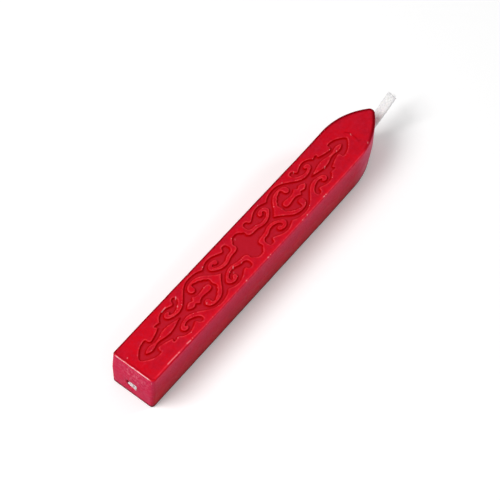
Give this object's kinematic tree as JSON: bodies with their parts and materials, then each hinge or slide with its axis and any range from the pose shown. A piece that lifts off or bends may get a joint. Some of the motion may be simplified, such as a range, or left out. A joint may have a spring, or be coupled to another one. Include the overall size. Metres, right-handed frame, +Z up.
{
  "type": "sealing wax stick",
  "caption": "Square cast bar of sealing wax with a pointed end, sunk scrollwork on its upper face and a flat cotton wick cast in along its length.",
  "frame": {"origin": "middle of the flat underside", "axes": "+X along the bar towards the pointed end, +Z up through the ornamented face"},
  "size_m": [0.0977, 0.012, 0.012],
  "materials": {
    "red_wax": null,
    "cotton_wick": "waxed cotton"
  },
  "bodies": {
    "stick": {"wax_body": "red_wax", "wick": "cotton_wick"},
    "wick_end": {"wick_tip": "cotton_wick"}
  },
  "joints": [
    {"name": "wick_bend", "type": "hinge", "parent": "stick", "child": "wick_end", "pos_m": [0.046, 0, 0.006], "axis": [0, -1, 0], "range_deg": [-70, 50]}
  ]
}
